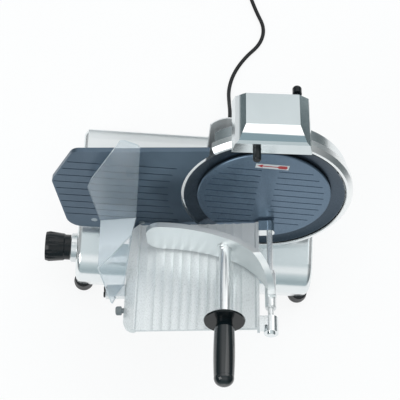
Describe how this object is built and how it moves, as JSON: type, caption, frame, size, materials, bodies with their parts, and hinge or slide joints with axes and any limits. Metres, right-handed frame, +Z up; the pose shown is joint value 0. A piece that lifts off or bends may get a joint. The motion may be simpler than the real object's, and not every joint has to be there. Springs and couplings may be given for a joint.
{
  "type": "meat slicer",
  "caption": "Electric gravity-feed meat slicer in polished aluminium with a slanted blade, grey gauge plate, sliding tray, pusher arm, clear hand guard and power cord",
  "frame": {"origin": "middle of the slicer's box at table level, the loose cord left out", "axes": "+X is the carriage's cutting stroke, -Y the side of the carriage and its operator, +Z up"},
  "size_m": [0.4812, 0.8483, 0.4012],
  "materials": {
    "cast_aluminium": "satin polished casting",
    "machined_aluminium": "machined",
    "gauge_coating": "satin slate grey",
    "cover_coating": "semi-gloss grey",
    "tray_metal": "bright anodised",
    "blade_steel": "ground",
    "chrome": "polished",
    "steel": "zinc",
    "clear_guard": "clear",
    "black_plastic": "gloss",
    "dark_plastic": "matt",
    "black_rubber": "matt",
    "brass": "machined",
    "belt_rubber": "matt",
    "stone": "coarse",
    "green_plastic": "gloss",
    "red_plastic": "gloss"
  },
  "bodies": {
    "root": {"base_casting": "cast_aluminium", "floor_plate": "steel", "rubber_feet": "black_rubber", "foot_screws": "steel", "receiving_tray": "tray_metal", "slide_bar": "steel", "inner_brackets": "machined_aluminium", "guide_rail": "steel", "dial_ring": "machined_aluminium", "switch_plate": "dark_plastic", "blade_housing": "cast_aluminium", "ring_guard": "cast_aluminium", "blade_bearings": "steel", "drive_cover": "cast_aluminium", "drive_belt": "belt_rubber", "motor_housing": "cast_aluminium", "slice_deflector": "tray_metal", "blade_cover": "cover_coating", "sharpener_bracket": "cast_aluminium", "cord_gland": "black_rubber", "cord": "black_rubber", "cord_coil": "black_rubber", "plug": "dark_plastic"},
    "blade_spindle": {"blade": "blade_steel", "blade_hub": "steel", "blade_screws": "steel", "blade_pulley": "machined_aluminium"},
    "motor_rotor": {"motor_pulley": "steel"},
    "cover_release": {"cover_tie_rod": "steel", "cover_knob": "black_plastic"},
    "gauge": {"gauge_plate": "gauge_coating", "gauge_bracket": "machined_aluminium", "gauge_screws": "chrome"},
    "gauge_dial": {"gauge_knob": "black_plastic", "dial_cam": "machined_aluminium"},
    "start_switch": {"start_button": "green_plastic"},
    "stop_switch": {"stop_button": "red_plastic"},
    "carriage": {"carriage_tray": "tray_metal", "carriage_arm": "cast_aluminium", "slide_bushes": "brass", "hand_guard": "clear_guard", "guard_bracket": "machined_aluminium", "guard_bolts": "dark_plastic", "pusher_rod": "chrome", "rod_block_rear": "cast_aluminium", "rod_block_front": "cast_aluminium"},
    "carriage_roller": {"guide_roller": "steel"},
    "tray_lock": {"tray_side_knob": "black_plastic"},
    "pusher_slider": {"pusher_bush": "brass"},
    "pusher": {"pusher_arm": "cast_aluminium", "handle_shaft": "chrome", "handle_grip": "black_plastic"},
    "sharpener_lifter": {"sharpener_post": "steel"},
    "sharpener_head": {"sharpener_carrier": "machined_aluminium", "sharpener_cover": "cast_aluminium"},
    "sharpener_clamp": {"clamp_knob": "black_plastic"},
    "front_push": {"front_button": "black_plastic"},
    "rear_push": {"rear_button": "black_plastic"},
    "front_wheel": {"front_stone": "stone"},
    "rear_wheel": {"rear_stone": "stone"}
  },
  "joints": [
    {"name": "carriage_slide", "type": "slide", "parent": "root", "child": "carriage", "axis": [1, 0, 0], "range_m": [-0.09, 0.16]},
    {"name": "roller_spin", "type": "hinge", "parent": "carriage", "child": "carriage_roller", "pos_m": [-0.03735, -0.04239, 0.0493], "axis": [0, 1, 0], "range_deg": [-575, 1020]},
    {"name": "tray_lock_turn", "type": "hinge", "parent": "carriage", "child": "tray_lock", "pos_m": [-0.10939, -0.11331, 0.18989], "axis": [-0.9903, -0.0588, -0.1261], "range_deg": [0, 360]},
    {"name": "pusher_slide", "type": "slide", "parent": "carriage", "child": "pusher_slider", "axis": [0, -0.9063, 0.4226], "range_m": [-0.035, 0.015]},
    {"name": "pusher_swing", "type": "hinge", "parent": "pusher_slider", "child": "pusher", "pos_m": [0.11849, -0.07108, 0.22838], "axis": [0, 0.9063, -0.4226], "range_deg": [0, 105]},
    {"name": "gauge_slide", "type": "slide", "parent": "root", "child": "gauge", "axis": [0, 0.9063, -0.4226], "range_m": [0, 0.015]},
    {"name": "gauge_dial_turn", "type": "hinge", "parent": "root", "child": "gauge_dial", "pos_m": [-0.21335, 0.00211, 0.066], "axis": [1, 0, 0], "range_deg": [0, 300]},
    {"name": "blade_spin", "type": "hinge", "parent": "root", "child": "blade_spindle", "pos_m": [0.10265, 0.07311, 0.23], "axis": [0, -0.9063, 0.4226], "continuous": true},
    {"name": "motor_spin", "type": "hinge", "parent": "root", "child": "motor_rotor", "pos_m": [0.12765, 0.09579, 0.13667], "axis": [0, -0.9063, 0.4226], "continuous": true},
    {"name": "cover_knob_turn", "type": "hinge", "parent": "root", "child": "cover_release", "pos_m": [0.10265, 0.14108, 0.1983], "axis": [0, -0.9063, 0.4226], "range_deg": [0, 720]},
    {"name": "start_press", "type": "slide", "parent": "root", "child": "start_switch", "axis": [1, 0, 0], "range_m": [0, 0.0025], "stiffness_N_per_m": 800, "springref_m": -0.001},
    {"name": "stop_press", "type": "slide", "parent": "root", "child": "stop_switch", "axis": [1, 0, 0], "range_m": [0, 0.0025], "stiffness_N_per_m": 800, "springref_m": -0.001},
    {"name": "sharpener_lift", "type": "slide", "parent": "root", "child": "sharpener_lifter", "axis": [-0.0454, 0.4222, 0.9054], "range_m": [0, 0.03]},
    {"name": "sharpener_turn", "type": "hinge", "parent": "sharpener_lifter", "child": "sharpener_head", "pos_m": [0.10384, 0.17964, 0.34606], "axis": [-0.0454, 0.4222, 0.9054], "range_deg": [0, 180]},
    {"name": "clamp_knob_turn", "type": "hinge", "parent": "root", "child": "sharpener_clamp", "pos_m": [0.10673, 0.1731, 0.27879], "axis": [0, -0.9063, 0.4226], "range_deg": [0, 360]},
    {"name": "front_push_press", "type": "slide", "parent": "sharpener_head", "child": "front_push", "axis": [0, 0.9063, -0.4226], "range_m": [0, 0.008], "stiffness_N_per_m": 500, "springref_m": -0.002},
    {"name": "rear_push_press", "type": "slide", "parent": "sharpener_head", "child": "rear_push", "axis": [0, -0.9063, 0.4226], "range_m": [0, 0.008], "stiffness_N_per_m": 500, "springref_m": -0.002},
    {"name": "front_stone_spin", "type": "hinge", "parent": "front_push", "child": "front_wheel", "pos_m": [0.07362, 0.12565, 0.3758], "axis": [0, -0.9063, 0.4226], "continuous": true},
    {"name": "rear_stone_spin", "type": "hinge", "parent": "rear_push", "child": "rear_wheel", "pos_m": [0.13322, 0.18072, 0.36139], "axis": [0, -0.9063, 0.4226], "continuous": true}
  ],
  "couplings": [
    {"joint": "roller_spin", "follows": "carriage_slide", "rad_per_m": 111.11},
    {"joint": "gauge_dial_turn", "follows": "gauge_slide", "rad_per_m": 349.07},
    {"joint": "motor_spin", "follows": "blade_spin", "ratio": 5}
  ]
}
